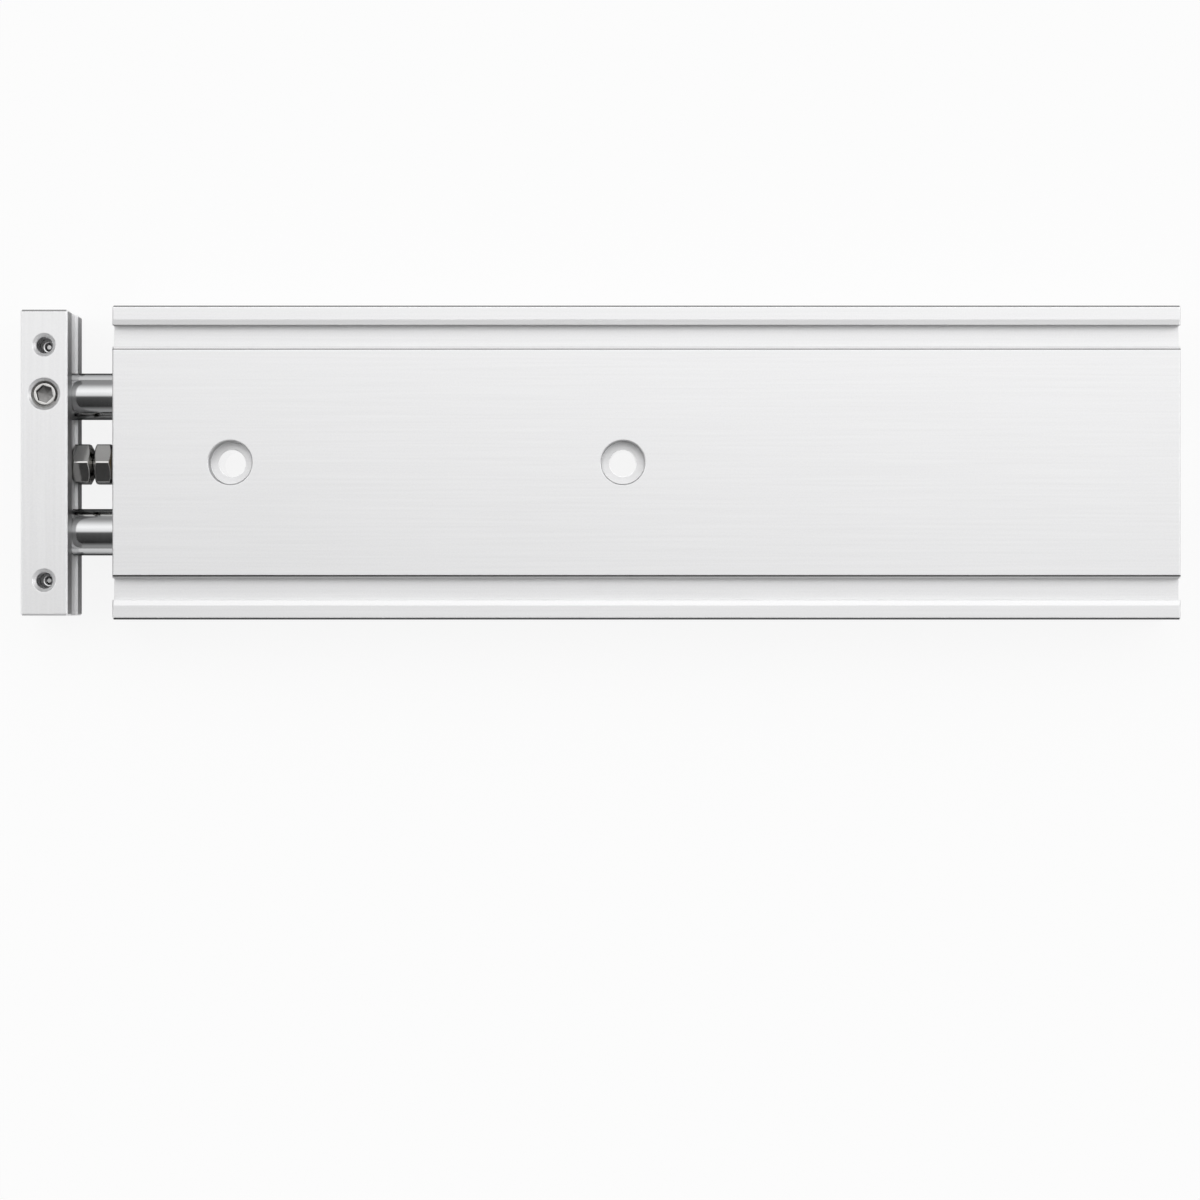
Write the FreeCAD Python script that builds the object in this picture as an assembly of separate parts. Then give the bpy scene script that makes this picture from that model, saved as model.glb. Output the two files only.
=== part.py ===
import FreeCAD, Part
import math
import os

# Twin rod pneumatic cylinder, all sizes in millimetres.
# X runs along the stroke with the end plate at the +X end, and Z is up. The origin lies on the
# mounting face, on the centre line, midway between the two mounting holes.
# Screw threads are left plain: a screw and its tapped hole are both made at the thread's core.

# Cylinder
stroke = 200.0
bore_diameter = 25.0
rod_diameter = 12.0
rod_pitch = 35.0

# Fits, each the gap on one side
seat_clearance = 0.02
running_clearance = 0.03
seal_clearance = 0.02
piston_clearance = 0.15
thread_clearance = 0.05
end_gap = 0.5

# Housing
housing_width = 80.0
housing_height = 30.0
housing_edge_radius = 0.6
housing_end_chamfer = 0.35
bore_mouth_chamfer = 0.5
mounting_hole_pitch = 100.0
mounting_hole_setback = 30.0
mounting_hole_diameter = 6.9
mounting_recess_diameter = 11.0
mounting_recess_depth = 6.3
mounting_recess_chamfer = 0.3
sensor_groove_inset = 7.75
sensor_groove_width = 5.5
sensor_groove_depth = 4.2
sensor_groove_chamfer = 0.9
sensor_groove_chamfer_depth = 0.35
sensor_groove_lip = 1.4
sensor_groove_lip_depth = 0.1

# Air ports
port_core_diameter = 8.6
port_mouth_diameter = 10.4
port_depth = 7.5
passage_diameter = 4.0
plug_length = 6.0
plug_recess = 0.6
plug_socket = 5.0
plug_socket_depth = 3.5

# Covers and the rings that hold them
ring_setback = 2.8
ring_thickness = 1.2
ring_groove_depth = 0.6
ring_width = 2.6
ring_gap_angle = 44.0
ring_lug_diameter = 5.0
ring_lug_hole_diameter = 2.0
rod_cover_length = 26.0
head_cover_length = 8.0
cover_chamfer = 0.5
o_ring_section = 1.7
o_ring_groove_width = 2.6
rod_cover_o_ring_setback = 13.0
rod_seal_setback = 1.6
rod_seal_width = 4.0
rod_seal_section = 3.0
rod_seal_lip_depth = 1.6
rod_seal_lip_gap = 1.2

# Bumpers
bumper_height = 2.0
bumper_seat_depth = 1.5
rod_bumper_section = 3.6
rod_bumper_rod_gap = 0.5
head_bumper_diameter = 21.0
stop_bumper_diameter = 8.0
stop_bumper_height = 0.5
stop_bumper_seat_depth = 1.0
stop_bumper_stem_diameter = 5.0
stop_bumper_stem_length = 6.0
stop_bumper_edge = 0.3

# Pistons
spigot_diameter = 8.0
spigot_core_diameter = 6.8
magnet_holder_diameter = 21.0
magnet_holder_thickness = 3.0
magnet_diameter = 21.0
magnet_bore = 15.0
magnet_length = 6.0
piston_band_length = 10.0
piston_edge_chamfer = 0.4
piston_seal_width = 4.0
piston_seal_section = 3.0
piston_seal_lip_depth = 0.5
piston_tail_diameter = 19.0
piston_tail_length = 6.0
nut_recess_diameter = 16.0
nut_recess_depth = 5.0
piston_nut_flats = 13.0
piston_nut_thickness = 4.5

# End plate
plate_gap = 11.5
plate_thickness = 12.0
plate_width = 78.0
plate_height = 28.0
plate_chamfer = 0.4
plate_groove_depth = 0.8
plate_groove_clearance = 0.05
tap_core_diameter = 4.2
tap_mouth_diameter = 6.0
tap_depth = 9.0
tap_point_angle = 118.0
side_tap_pitch = 60.0
front_tap_pitch_across = 48.0
front_tap_pitch_up = 18.0

# Screws that hold the rods in the end plate
cap_screw_core = 5.0
cap_screw_shank = 6.0
cap_screw_hole = 6.6
cap_screw_head_diameter = 10.0
cap_screw_head_height = 6.0
cap_screw_head_recess = 0.4
cap_screw_head_gap = 0.5
cap_screw_reach = 10.0
cap_screw_socket = 5.0
cap_screw_socket_depth = 3.0
cap_screw_edge = 0.5
rod_tap_spare = 2.0
rod_end_chamfer = 0.5
rod_end_recess = 0.5
set_screw_core = 6.8
set_screw_mouth = 8.3
set_screw_recess = 0.9
set_screw_socket = 4.0
set_screw_socket_depth = 3.0
set_screw_socket_turn = 42.5
set_screw_edge = 0.35
set_screw_flat_depth = 0.8

# Bumper bolt and its lock nut
bolt_core_diameter = 5.0
bolt_flats = 10.0
bolt_head_height = 4.3
bolt_head_chamfer = 1.0
bolt_head_turn = 3.5
lock_nut_thickness = 6.0
lock_nut_chamfer = 2.3
lock_nut_turn = 5.0
lock_nut_gap = 0.4
hexagon_chamfer_angle = 30.0
bolt_end_recess = 0.6
bolt_end_chamfer = 0.6

# Places along the stroke, with the rods drawn in
ring_depth = ring_setback + ring_thickness
front_face = mounting_hole_pitch / 2 + mounting_hole_setback
rod_cover_front = front_face - ring_depth
rod_cover_back = rod_cover_front - rod_cover_length
extended_front = rod_cover_back - bumper_height - end_gap
piston_front = extended_front - stroke
magnet_front = piston_front - magnet_holder_thickness
band_front = magnet_front - magnet_length
band_back = band_front - piston_band_length
piston_back = band_back - piston_tail_length
head_cover_front = piston_back - end_gap - bumper_height
head_cover_back = head_cover_front - head_cover_length
rear_face = head_cover_back - ring_depth
front_port_x = extended_front - (magnet_holder_thickness + magnet_length) / 2
rear_port_x = (band_back + piston_back) / 2
plate_back = front_face + plate_gap
groove_floor = plate_back + plate_groove_depth
plate_front = plate_back + plate_thickness
plate_middle = (plate_back + plate_front) / 2
bolt_head_front = groove_floor - lock_nut_thickness - lock_nut_gap

# Places across the stroke
axis_height = housing_height / 2
rod_offset = rod_pitch / 2
plate_bottom = axis_height - plate_height / 2
plate_top = axis_height + plate_height / 2
ring_outer_radius = bore_diameter / 2 + ring_groove_depth
o_ring_floor_radius = bore_diameter / 2 - o_ring_section
piston_radius = bore_diameter / 2 - piston_clearance
piston_seal_inner_radius = bore_diameter / 2 - seal_clearance - piston_seal_section
margin = 1.0

x_axis = FreeCAD.Vector(1, 0, 0)
y_axis = FreeCAD.Vector(0, 1, 0)
z_axis = FreeCAD.Vector(0, 0, 1)


def turned(profile, y):
    """A solid of revolution about the rod line at this y, from (x, radius) corners."""
    corners = [FreeCAD.Vector(x, y + radius, axis_height) for x, radius in profile]
    face = Part.Face(Part.makePolygon(corners + corners[:1]))
    return face.revolve(FreeCAD.Vector(0, y, axis_height), x_axis, 360)


def cylinder(diameter, start, direction, length):
    return Part.makeCylinder(diameter / 2, length, start, direction)


def rod_line_cylinder(diameter, x_from, x_to, y):
    start = FreeCAD.Vector(min(x_from, x_to), y, axis_height)
    return cylinder(diameter, start, x_axis, abs(x_to - x_from))


def cone(mouth_diameter, inner_diameter, mouth, inward):
    """A 90 degree countersink with its mouth at a face, carried on a little above that face."""
    depth = (mouth_diameter - inner_diameter) / 2
    above = mouth_diameter / 2 + margin
    start = mouth - inward * margin
    return Part.makeCone(above, inner_diameter / 2, depth + margin, start, inward)


def hexagon(flats, x_from, x_to, y, turn=0):
    """A hexagonal prism along X, with a corner uppermost or turned from there, in degrees."""
    radius = flats / math.sqrt(3)
    corners = []
    for step in range(7):
        angle = math.radians(90 + turn + step * 60)
        across = radius * math.cos(angle)
        up = radius * math.sin(angle)
        corners.append(FreeCAD.Vector(x_from, y + across, axis_height + up))
    face = Part.Face(Part.makePolygon(corners))
    return face.extrude(x_axis * (x_to - x_from))


def chamfered_hexagon(flats, x_from, x_to, chamfer, turn):
    """A hexagon on the centre line, with its corners turned off at both ends."""
    corner_radius = flats / math.sqrt(3)
    end_radius = corner_radius - chamfer
    depth = chamfer * math.tan(math.radians(hexagon_chamfer_angle))
    envelope = turned(
        [
            (x_from, 0),
            (x_from, end_radius),
            (x_from + depth, corner_radius),
            (x_to - depth, corner_radius),
            (x_to, end_radius),
            (x_to, 0),
        ],
        0,
    )
    return hexagon(flats, x_from, x_to, 0, turn).common(envelope)


def tapped_blind_hole(mouth, inward):
    """An open tapped hole: countersunk mouth, plain core and the drill's point at its foot."""
    core = cylinder(tap_core_diameter, mouth - inward * margin, inward, tap_depth + margin)
    point_depth = tap_core_diameter / 2 / math.tan(math.radians(tap_point_angle / 2))
    foot = mouth + inward * tap_depth
    point = Part.makeCone(tap_core_diameter / 2, 0, point_depth, foot, inward)
    mouth_cone = cone(tap_mouth_diameter, tap_core_diameter, mouth, inward)
    return core.fuse([point, mouth_cone])


# Housing: an extruded block with two bores, sensor grooves, mounting holes and side ports
def sensor_groove(side):
    """A groove with a chamfered inner edge. Its outer edge slopes gently, so a sensor clips in."""
    centre = housing_width / 2 - sensor_groove_inset
    wall = sensor_groove_width / 2
    floor_z = housing_height - sensor_groove_depth
    outline = [
        (-wall - 2 * sensor_groove_chamfer, housing_height + sensor_groove_chamfer_depth),
        (-wall, housing_height - sensor_groove_chamfer_depth),
        (-wall, floor_z),
        (wall, floor_z),
        (wall, housing_height - sensor_groove_lip_depth),
        (wall + 2 * sensor_groove_lip, housing_height + sensor_groove_lip_depth),
    ]
    start_x = rear_face - margin
    corners = [FreeCAD.Vector(start_x, side * (centre + across), z) for across, z in outline]
    face = Part.Face(Part.makePolygon(corners + corners[:1]))
    return face.extrude(x_axis * (front_face - rear_face + 2 * margin))


def mounting_hole(x):
    foot = FreeCAD.Vector(x, 0, -margin)
    hole = cylinder(mounting_hole_diameter, foot, z_axis, housing_height + 2 * margin)
    cuts = []
    for face_z, inward in ((0, z_axis), (housing_height, z_axis * -1)):
        mouth = FreeCAD.Vector(x, 0, face_z)
        start = mouth - inward * margin
        cuts.append(cylinder(mounting_recess_diameter, start, inward, mounting_recess_depth + margin))
        mouth_diameter = mounting_recess_diameter + 2 * mounting_recess_chamfer
        cuts.append(cone(mouth_diameter, mounting_recess_diameter, mouth, inward))
    return hole.fuse(cuts)


def cylinder_bore(side):
    """The bore through the housing, with a ring groove and a chamfered mouth at each end."""
    bore = bore_diameter / 2
    mouth = bore + bore_mouth_chamfer
    return turned(
        [
            (rear_face - margin, 0),
            (rear_face - margin, mouth + margin),
            (rear_face + bore_mouth_chamfer, bore),
            (head_cover_back - ring_thickness, bore),
            (head_cover_back - ring_thickness, ring_outer_radius),
            (head_cover_back, ring_outer_radius),
            (head_cover_back, bore),
            (rod_cover_front, bore),
            (rod_cover_front, ring_outer_radius),
            (rod_cover_front + ring_thickness, ring_outer_radius),
            (rod_cover_front + ring_thickness, bore),
            (front_face - bore_mouth_chamfer, bore),
            (front_face + margin, mouth + margin),
            (front_face + margin, 0),
        ],
        side * rod_offset,
    )


def air_passage(x):
    """One drilled passage that joins both bores, with a port at each side of the housing."""
    half_width = housing_width / 2
    start = FreeCAD.Vector(x, -half_width, axis_height)
    cuts = []
    for side in (1, -1):
        mouth = FreeCAD.Vector(x, side * half_width, axis_height)
        inward = y_axis * -side
        cuts.append(cylinder(port_core_diameter, mouth - inward * margin, inward, port_depth + margin))
        cuts.append(cone(port_mouth_diameter, port_core_diameter, mouth, inward))
    return cylinder(passage_diameter, start, y_axis, housing_width).fuse(cuts)


def stop_bumper_seat():
    inward = x_axis * -1
    mouth = FreeCAD.Vector(front_face, 0, axis_height)
    start = mouth - inward * margin
    head = stop_bumper_diameter + 2 * seat_clearance
    stem = stop_bumper_stem_diameter + 2 * seat_clearance
    stem_depth = stop_bumper_seat_depth + stop_bumper_stem_length + end_gap
    recess = cylinder(head, start, inward, stop_bumper_seat_depth + margin)
    return recess.fuse(cylinder(stem, start, inward, stem_depth + margin))


def on_outer_outline(edge):
    """Whether an edge lies in an end face and on the outside of the block."""
    box = edge.BoundBox
    middle = box.Center
    in_end_face = box.XLength < 1e-6
    at_side = abs(abs(middle.y) - housing_width / 2) < housing_edge_radius
    at_bottom = middle.z < housing_edge_radius
    at_top = middle.z > housing_height - housing_edge_radius
    return in_end_face and (at_side or at_bottom or at_top)


def housing():
    corner = FreeCAD.Vector(rear_face, -housing_width / 2, 0)
    block = Part.makeBox(front_face - rear_face, housing_width, housing_height, corner)
    long_edges = [edge for edge in block.Edges if edge.BoundBox.XLength > 1e-6]
    block = block.makeFillet(housing_edge_radius, long_edges)
    block = block.cut([sensor_groove(1), sensor_groove(-1)])
    end_edges = [edge for edge in block.Edges if on_outer_outline(edge)]
    block = block.makeChamfer(housing_end_chamfer, end_edges)
    cuts = [cylinder_bore(1), cylinder_bore(-1), stop_bumper_seat()]
    cuts += [air_passage(front_port_x), air_passage(rear_port_x)]
    cuts += [mounting_hole(sign * mounting_hole_pitch / 2) for sign in (1, -1)]
    return block.cut(cuts)


# Port plugs: two socket plugs that close the ports of one side
def port_plug(x):
    top = FreeCAD.Vector(x, -housing_width / 2 + plug_recess, axis_height)
    body = cylinder(port_core_diameter - 2 * thread_clearance, top, y_axis, plug_length)
    socket = hexagon(plug_socket, 0, plug_socket_depth, 0)
    socket.rotate(FreeCAD.Vector(0, 0, axis_height), z_axis, 90)
    socket.translate(FreeCAD.Vector(top.x, top.y, 0))
    return body.cut(socket)


def port_plugs():
    return Part.makeCompound([port_plug(front_port_x), port_plug(rear_port_x)])


# Covers: turned plugs that close the bores, each with its O-ring
def o_ring_groove(middle, outer):
    """The (x, radius) corners of an O-ring groove in an outside face, from back to front."""
    half = o_ring_groove_width / 2
    return [
        (middle - half, outer),
        (middle - half, o_ring_floor_radius),
        (middle + half, o_ring_floor_radius),
        (middle + half, outer),
    ]


def o_ring(middle, y):
    """A round-section ring squeezed between the groove floor and the bore."""
    section_radius = o_ring_section / 2 - seat_clearance
    centre_radius = o_ring_floor_radius + o_ring_section / 2
    centre = FreeCAD.Vector(middle, y, axis_height)
    return Part.makeTorus(centre_radius, section_radius, centre, x_axis)


def rod_cover(side):
    outer = bore_diameter / 2 - seat_clearance
    bore = rod_diameter / 2 + running_clearance
    seal_radius = rod_diameter / 2 + rod_seal_section + seat_clearance
    seal_front = rod_cover_front - rod_seal_setback
    seal_back = seal_front - rod_seal_width
    bumper_floor = rod_cover_back + bumper_seat_depth
    bumper_inner = rod_diameter / 2 + rod_bumper_rod_gap
    bumper_radius = bumper_inner + rod_bumper_section + seat_clearance
    profile = [
        (rod_cover_front, bore),
        (seal_front, bore),
        (seal_front, seal_radius),
        (seal_back, seal_radius),
        (seal_back, bore),
        (bumper_floor, bore),
        (bumper_floor, bumper_radius),
        (rod_cover_back, bumper_radius),
        (rod_cover_back, outer - cover_chamfer),
        (rod_cover_back + cover_chamfer, outer),
    ]
    profile += o_ring_groove(rod_cover_front - rod_cover_o_ring_setback, outer)
    profile += [(rod_cover_front - cover_chamfer, outer), (rod_cover_front, outer - cover_chamfer)]
    return turned(profile, side * rod_offset)


def rod_cover_o_ring(side):
    return o_ring(rod_cover_front - rod_cover_o_ring_setback, side * rod_offset)


def rod_seal(side):
    """A lip seal: its open side faces the air in the cylinder."""
    inner = rod_diameter / 2 + seal_clearance
    outer = rod_diameter / 2 + rod_seal_section
    middle = (inner + outer) / 2
    front = rod_cover_front - rod_seal_setback
    back = front - rod_seal_width
    profile = [
        (front, inner),
        (front, outer),
        (back, outer),
        (back, middle + rod_seal_lip_gap / 2),
        (back + rod_seal_lip_depth, middle),
        (back, middle - rod_seal_lip_gap / 2),
        (back, inner),
    ]
    return turned(profile, side * rod_offset)


def rod_end_bumper(side):
    inner = rod_diameter / 2 + rod_bumper_rod_gap
    outer = inner + rod_bumper_section
    floor = rod_cover_back + bumper_seat_depth
    face = rod_cover_back - bumper_height
    profile = [(floor, inner), (floor, outer), (face, outer), (face, inner)]
    return turned(profile, side * rod_offset)


def head_cover(side):
    outer = bore_diameter / 2 - seat_clearance
    seat_radius = head_bumper_diameter / 2 + seat_clearance
    floor = head_cover_front - bumper_seat_depth
    profile = [
        (head_cover_back, 0),
        (head_cover_back, outer - cover_chamfer),
        (head_cover_back + cover_chamfer, outer),
    ]
    profile += o_ring_groove((head_cover_front + head_cover_back) / 2, outer)
    profile += [
        (head_cover_front - cover_chamfer, outer),
        (head_cover_front, outer - cover_chamfer),
        (head_cover_front, seat_radius),
        (floor, seat_radius),
        (floor, 0),
    ]
    return turned(profile, side * rod_offset)


def head_cover_o_ring(side):
    return o_ring((head_cover_front + head_cover_back) / 2, side * rod_offset)


def head_end_bumper(side):
    floor = head_cover_front - bumper_seat_depth
    return rod_line_cylinder(head_bumper_diameter, floor, head_cover_front + bumper_height, side * rod_offset)


# Retaining rings: sprung C rings in the bore grooves, with an eye at each end for pliers
def retaining_ring(x_from, side):
    y = side * rod_offset
    outer = ring_outer_radius - seat_clearance
    inner = outer - ring_width
    lug_line = bore_diameter / 2 - seat_clearance - ring_lug_diameter / 2
    half_gap = math.radians(ring_gap_angle / 2)
    lug_turn = half_gap + math.asin(ring_lug_diameter / 2 / lug_line)
    start = FreeCAD.Vector(x_from, y, axis_height)
    band = rod_line_cylinder(2 * outer, x_from, x_from + ring_thickness, y)
    band = band.cut(rod_line_cylinder(2 * inner, x_from, x_from + ring_thickness, y))
    corners = [start]
    for turn in (lug_turn, -lug_turn):
        reach = 2 * outer
        corners.append(start + FreeCAD.Vector(0, side * reach * math.cos(turn), reach * math.sin(turn)))
    wedge = Part.Face(Part.makePolygon(corners + corners[:1])).extrude(x_axis * ring_thickness)
    ring = band.cut(wedge)
    eyes = []
    for turn in (lug_turn, -lug_turn):
        centre = start + FreeCAD.Vector(0, side * lug_line * math.cos(turn), lug_line * math.sin(turn))
        ring = ring.fuse(cylinder(ring_lug_diameter, centre, x_axis, ring_thickness))
        eyes.append(cylinder(ring_lug_hole_diameter, centre, x_axis, ring_thickness))
    return ring.cut(eyes).removeSplitter()


def front_retaining_ring(side):
    return retaining_ring(rod_cover_front, side)


def rear_retaining_ring(side):
    return retaining_ring(head_cover_back - ring_thickness, side)


# Stop bumper: a soft button in the front face that the bumper bolt lands on
def stop_bumper():
    head = stop_bumper_diameter / 2
    stem = stop_bumper_stem_diameter / 2
    face = front_face + stop_bumper_height
    floor = front_face - stop_bumper_seat_depth
    foot = floor - stop_bumper_stem_length
    profile = [
        (foot, 0),
        (foot, stem - stop_bumper_edge),
        (foot + stop_bumper_edge, stem),
        (floor, stem),
        (floor, head),
        (face - stop_bumper_edge, head),
        (face, head - stop_bumper_edge),
        (face, 0),
    ]
    return turned(profile, 0)


# Piston rods: ground bars with a shouldered spigot for the piston at the inner end
def rod_profile(end_x):
    rod = rod_diameter / 2
    spigot = spigot_diameter / 2
    core = spigot_core_diameter / 2 - thread_clearance
    recess_floor = piston_back + nut_recess_depth
    core_end = recess_floor - piston_nut_thickness
    return [
        (core_end, 0),
        (core_end, core),
        (recess_floor, core),
        (recess_floor, spigot),
        (piston_front, spigot),
        (piston_front, rod),
        (end_x - rod_end_chamfer, rod),
        (end_x, rod - rod_end_chamfer),
        (end_x, 0),
    ]


def piston_rod_a():
    """The rod that seats on the plate's groove floor and takes the cap screw in its end."""
    rod = turned(rod_profile(groove_floor), rod_offset)
    tap_end = groove_floor - cap_screw_reach - rod_tap_spare
    return rod.cut(rod_line_cylinder(cap_screw_core, tap_end, groove_floor, rod_offset))


def piston_rod_b():
    """The rod that passes through the plate, with a flat under the set screw."""
    rod = turned(rod_profile(plate_front - rod_end_recess), -rod_offset)
    flat_z = axis_height + rod_diameter / 2 - set_screw_flat_depth
    flat_length = set_screw_core + 2 * thread_clearance
    corner = FreeCAD.Vector(plate_middle - flat_length / 2, -rod_offset - rod_diameter / 2, flat_z)
    return rod.cut(Part.makeBox(flat_length, rod_diameter, rod_diameter, corner))


# Pistons: each carries a magnet on its nose, a seal in its band and a nut sunk in its tail
def piston(side):
    bore = spigot_diameter / 2 + seat_clearance
    nose = magnet_bore / 2 - seat_clearance
    tail = piston_tail_diameter / 2
    floor = piston_seal_inner_radius - seat_clearance
    groove_front = (band_front + band_back + piston_seal_width) / 2
    groove_back = groove_front - piston_seal_width
    recess_floor = piston_back + nut_recess_depth
    profile = [
        (magnet_front, bore),
        (magnet_front, nose),
        (band_front, nose),
        (band_front, piston_radius - piston_edge_chamfer),
        (band_front - piston_edge_chamfer, piston_radius),
        (groove_front, piston_radius),
        (groove_front, floor),
        (groove_back, floor),
        (groove_back, piston_radius),
        (band_back + piston_edge_chamfer, piston_radius),
        (band_back, piston_radius - piston_edge_chamfer),
        (band_back, tail),
        (piston_back, tail),
        (piston_back, nut_recess_diameter / 2),
        (recess_floor, nut_recess_diameter / 2),
        (recess_floor, bore),
    ]
    return turned(profile, side * rod_offset)


def piston_seal(side):
    """A two-lipped ring that fills the groove and wipes the bore."""
    outer = bore_diameter / 2 - seal_clearance
    inner = piston_seal_inner_radius
    front = (band_front + band_back + piston_seal_width) / 2
    back = front - piston_seal_width
    middle = (front + back) / 2
    profile = [
        (front, inner),
        (front, outer - piston_seal_lip_depth),
        (front - piston_seal_lip_depth, outer),
        (middle, outer - piston_seal_lip_depth),
        (back + piston_seal_lip_depth, outer),
        (back, outer - piston_seal_lip_depth),
        (back, inner),
    ]
    return turned(profile, side * rod_offset)


def piston_magnet(side):
    y = side * rod_offset
    ring = rod_line_cylinder(magnet_diameter, band_front, magnet_front, y)
    return ring.cut(rod_line_cylinder(magnet_bore, band_front, magnet_front, y))


def magnet_holder(side):
    y = side * rod_offset
    washer = rod_line_cylinder(magnet_holder_diameter, magnet_front, piston_front, y)
    hole = spigot_diameter + 2 * seat_clearance
    return washer.cut(rod_line_cylinder(hole, magnet_front, piston_front, y))


def piston_nut(side):
    y = side * rod_offset
    front = piston_back + nut_recess_depth
    back = front - piston_nut_thickness
    nut = hexagon(piston_nut_flats, back, front, y)
    return nut.cut(rod_line_cylinder(spigot_core_diameter, back, front, y))


# End plate: ties both rods together and takes the load
def end_plate():
    corner = FreeCAD.Vector(plate_back, -plate_width / 2, plate_bottom)
    block = Part.makeBox(plate_thickness, plate_width, plate_height, corner)
    block = block.makeChamfer(plate_chamfer, block.Edges)
    groove_width = rod_diameter + 2 * plate_groove_clearance
    groove_corner = FreeCAD.Vector(plate_back - margin, -plate_width / 2, axis_height - groove_width / 2)
    cuts = [Part.makeBox(plate_groove_depth + margin, plate_width, groove_width, groove_corner)]
    reach = plate_front + margin
    cuts.append(rod_line_cylinder(cap_screw_hole, plate_back, reach, rod_offset))
    head_hole = cap_screw_head_diameter + 2 * cap_screw_head_gap
    head_floor = plate_front - cap_screw_head_recess - cap_screw_head_height
    cuts.append(rod_line_cylinder(head_hole, head_floor, reach, rod_offset))
    rod_hole = rod_diameter + 2 * seat_clearance
    cuts.append(rod_line_cylinder(rod_hole, plate_back, reach, -rod_offset))
    bolt_hole = bolt_core_diameter + 2 * thread_clearance
    cuts.append(rod_line_cylinder(bolt_hole, plate_back, reach, 0))
    bolt_mouth = FreeCAD.Vector(plate_front, 0, axis_height)
    cuts.append(cone(bolt_hole + 2 * bolt_end_chamfer, bolt_hole, bolt_mouth, x_axis * -1))
    for side in (1, -1):
        across = side * side_tap_pitch / 2
        cuts.append(tapped_blind_hole(FreeCAD.Vector(plate_middle, across, plate_top), z_axis * -1))
        cuts.append(tapped_blind_hole(FreeCAD.Vector(plate_middle, across, plate_bottom), z_axis))
        for up in (1, -1):
            height = axis_height + up * front_tap_pitch_up / 2
            mouth = FreeCAD.Vector(plate_front, side * front_tap_pitch_across / 2, height)
            cuts.append(tapped_blind_hole(mouth, x_axis * -1))
    screw_mouth = FreeCAD.Vector(plate_middle, -rod_offset, plate_top)
    cuts.append(cylinder(set_screw_core, screw_mouth, z_axis * -1, plate_top - axis_height))
    cuts.append(cone(set_screw_mouth, set_screw_core, screw_mouth, z_axis * -1))
    return block.cut(cuts)


def rod_cap_screw_a():
    """A socket cap screw through the plate into the end of rod a."""
    seat = plate_front - cap_screw_head_recess - cap_screw_head_height
    top = plate_front - cap_screw_head_recess
    head = cap_screw_head_diameter / 2
    shank = cap_screw_shank / 2
    core = cap_screw_core / 2 - thread_clearance
    profile = [
        (groove_floor - cap_screw_reach, 0),
        (groove_floor - cap_screw_reach, core),
        (groove_floor, core),
        (groove_floor, shank),
        (seat, shank),
        (seat, head),
        (top - cap_screw_edge, head),
        (top, head - cap_screw_edge),
        (top, 0),
    ]
    screw = turned(profile, rod_offset)
    return screw.cut(hexagon(cap_screw_socket, top - cap_screw_socket_depth, top, rod_offset))


def rod_set_screw_b():
    """A socket set screw from the top of the plate onto the flat of rod b."""
    flat_z = axis_height + rod_diameter / 2 - set_screw_flat_depth
    top_z = plate_top - set_screw_recess
    foot = FreeCAD.Vector(plate_middle, -rod_offset, flat_z)
    screw = cylinder(set_screw_core - 2 * thread_clearance, foot, z_axis, top_z - flat_z)
    rims = [edge for edge in screw.Edges if edge.BoundBox.ZLength < 1e-6]
    screw = screw.makeChamfer(set_screw_edge, rims)
    socket = hexagon(set_screw_socket, 0, set_screw_socket_depth, 0)
    socket.rotate(FreeCAD.Vector(0, 0, axis_height), y_axis, 90)
    socket.rotate(FreeCAD.Vector(0, 0, axis_height), z_axis, set_screw_socket_turn)
    socket.translate(FreeCAD.Vector(plate_middle, -rod_offset, top_z - axis_height))
    return screw.cut(socket)


# Bumper bolt and lock nut: they set where the rods stop when drawn in
def lock_nut():
    back = groove_floor - lock_nut_thickness
    nut = chamfered_hexagon(bolt_flats, back, groove_floor, lock_nut_chamfer, lock_nut_turn)
    return nut.cut(rod_line_cylinder(bolt_core_diameter + 2 * thread_clearance, back, groove_floor, 0))


def bumper_bolt():
    head_back = bolt_head_front - bolt_head_height
    head = chamfered_hexagon(bolt_flats, head_back, bolt_head_front, bolt_head_chamfer, bolt_head_turn)
    core = bolt_core_diameter / 2
    end_x = plate_front - bolt_end_recess
    shank = turned(
        [
            (bolt_head_front, 0),
            (bolt_head_front, core),
            (end_x - bolt_end_chamfer, core),
            (end_x, core - bolt_end_chamfer),
            (end_x, 0),
        ],
        0,
    )
    return head.fuse(shank)


# One solid for each piece, and two of each piece that both bores have
single_pieces = [
    housing,
    port_plugs,
    stop_bumper,
    end_plate,
    piston_rod_a,
    piston_rod_b,
    rod_cap_screw_a,
    rod_set_screw_b,
    lock_nut,
    bumper_bolt,
]
paired_pieces = [
    rod_cover,
    rod_cover_o_ring,
    rod_seal,
    rod_end_bumper,
    front_retaining_ring,
    head_cover,
    head_cover_o_ring,
    head_end_bumper,
    rear_retaining_ring,
    piston,
    piston_seal,
    piston_magnet,
    magnet_holder,
    piston_nut,
]

os.makedirs("parts", exist_ok=True)
for make_piece in single_pieces:
    make_piece().exportStep(f"parts/{make_piece.__name__}.step")
for make_piece in paired_pieces:
    for letter, side in (("a", 1), ("b", -1)):
        make_piece(side).exportStep(f"parts/{make_piece.__name__}_{letter}.step")
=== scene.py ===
import math

import bmesh
import bpy
from mathutils import Matrix, Vector


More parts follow.
